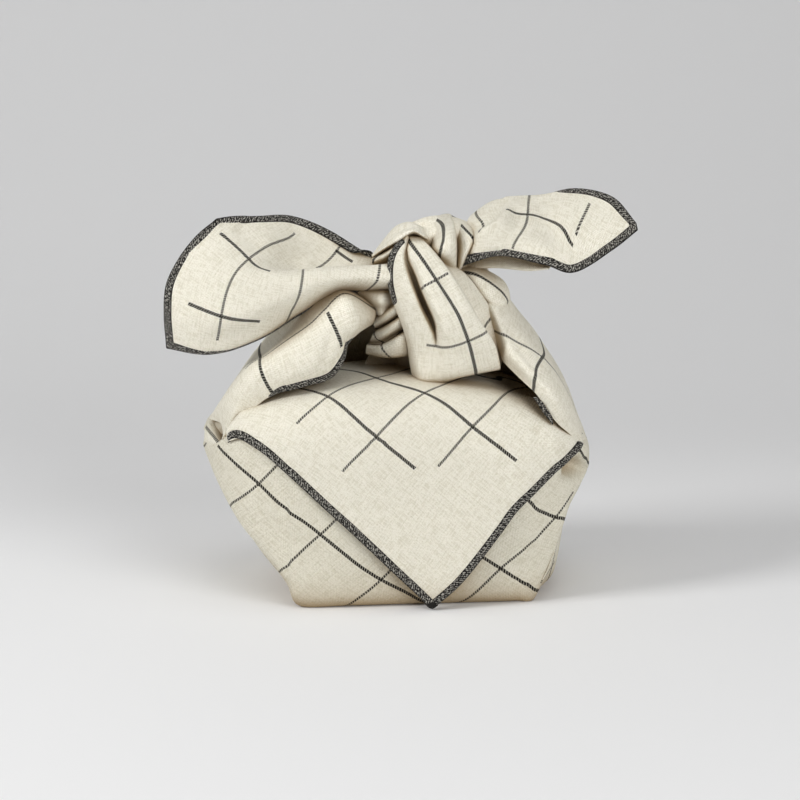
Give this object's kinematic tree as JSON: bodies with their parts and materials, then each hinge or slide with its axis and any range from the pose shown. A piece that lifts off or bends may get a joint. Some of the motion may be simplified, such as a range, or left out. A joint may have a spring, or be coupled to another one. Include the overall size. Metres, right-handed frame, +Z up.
{
  "type": "furoshiki wrap",
  "caption": "Square cloth tied round a rounded bundle, with a pointed flap down the front and a top knot that ends in free ears and a hanging strand.",
  "frame": {"origin": "middle of the flat underside that the bundle rests on", "axes": "+X to the right of the front flap, towards the smaller ear; +Y to the back; +Z up through the knot"},
  "size_m": [0.2225, 0.1166, 0.1931],
  "materials": {
    "cotton_linen": "matte plain-weave cotton-linen with dark woven windowpane lines and an overlocked edge in dark thread"
  },
  "bodies": {
    "root": {"cloth": "cotton_linen"}
  },
  "joints": []
}
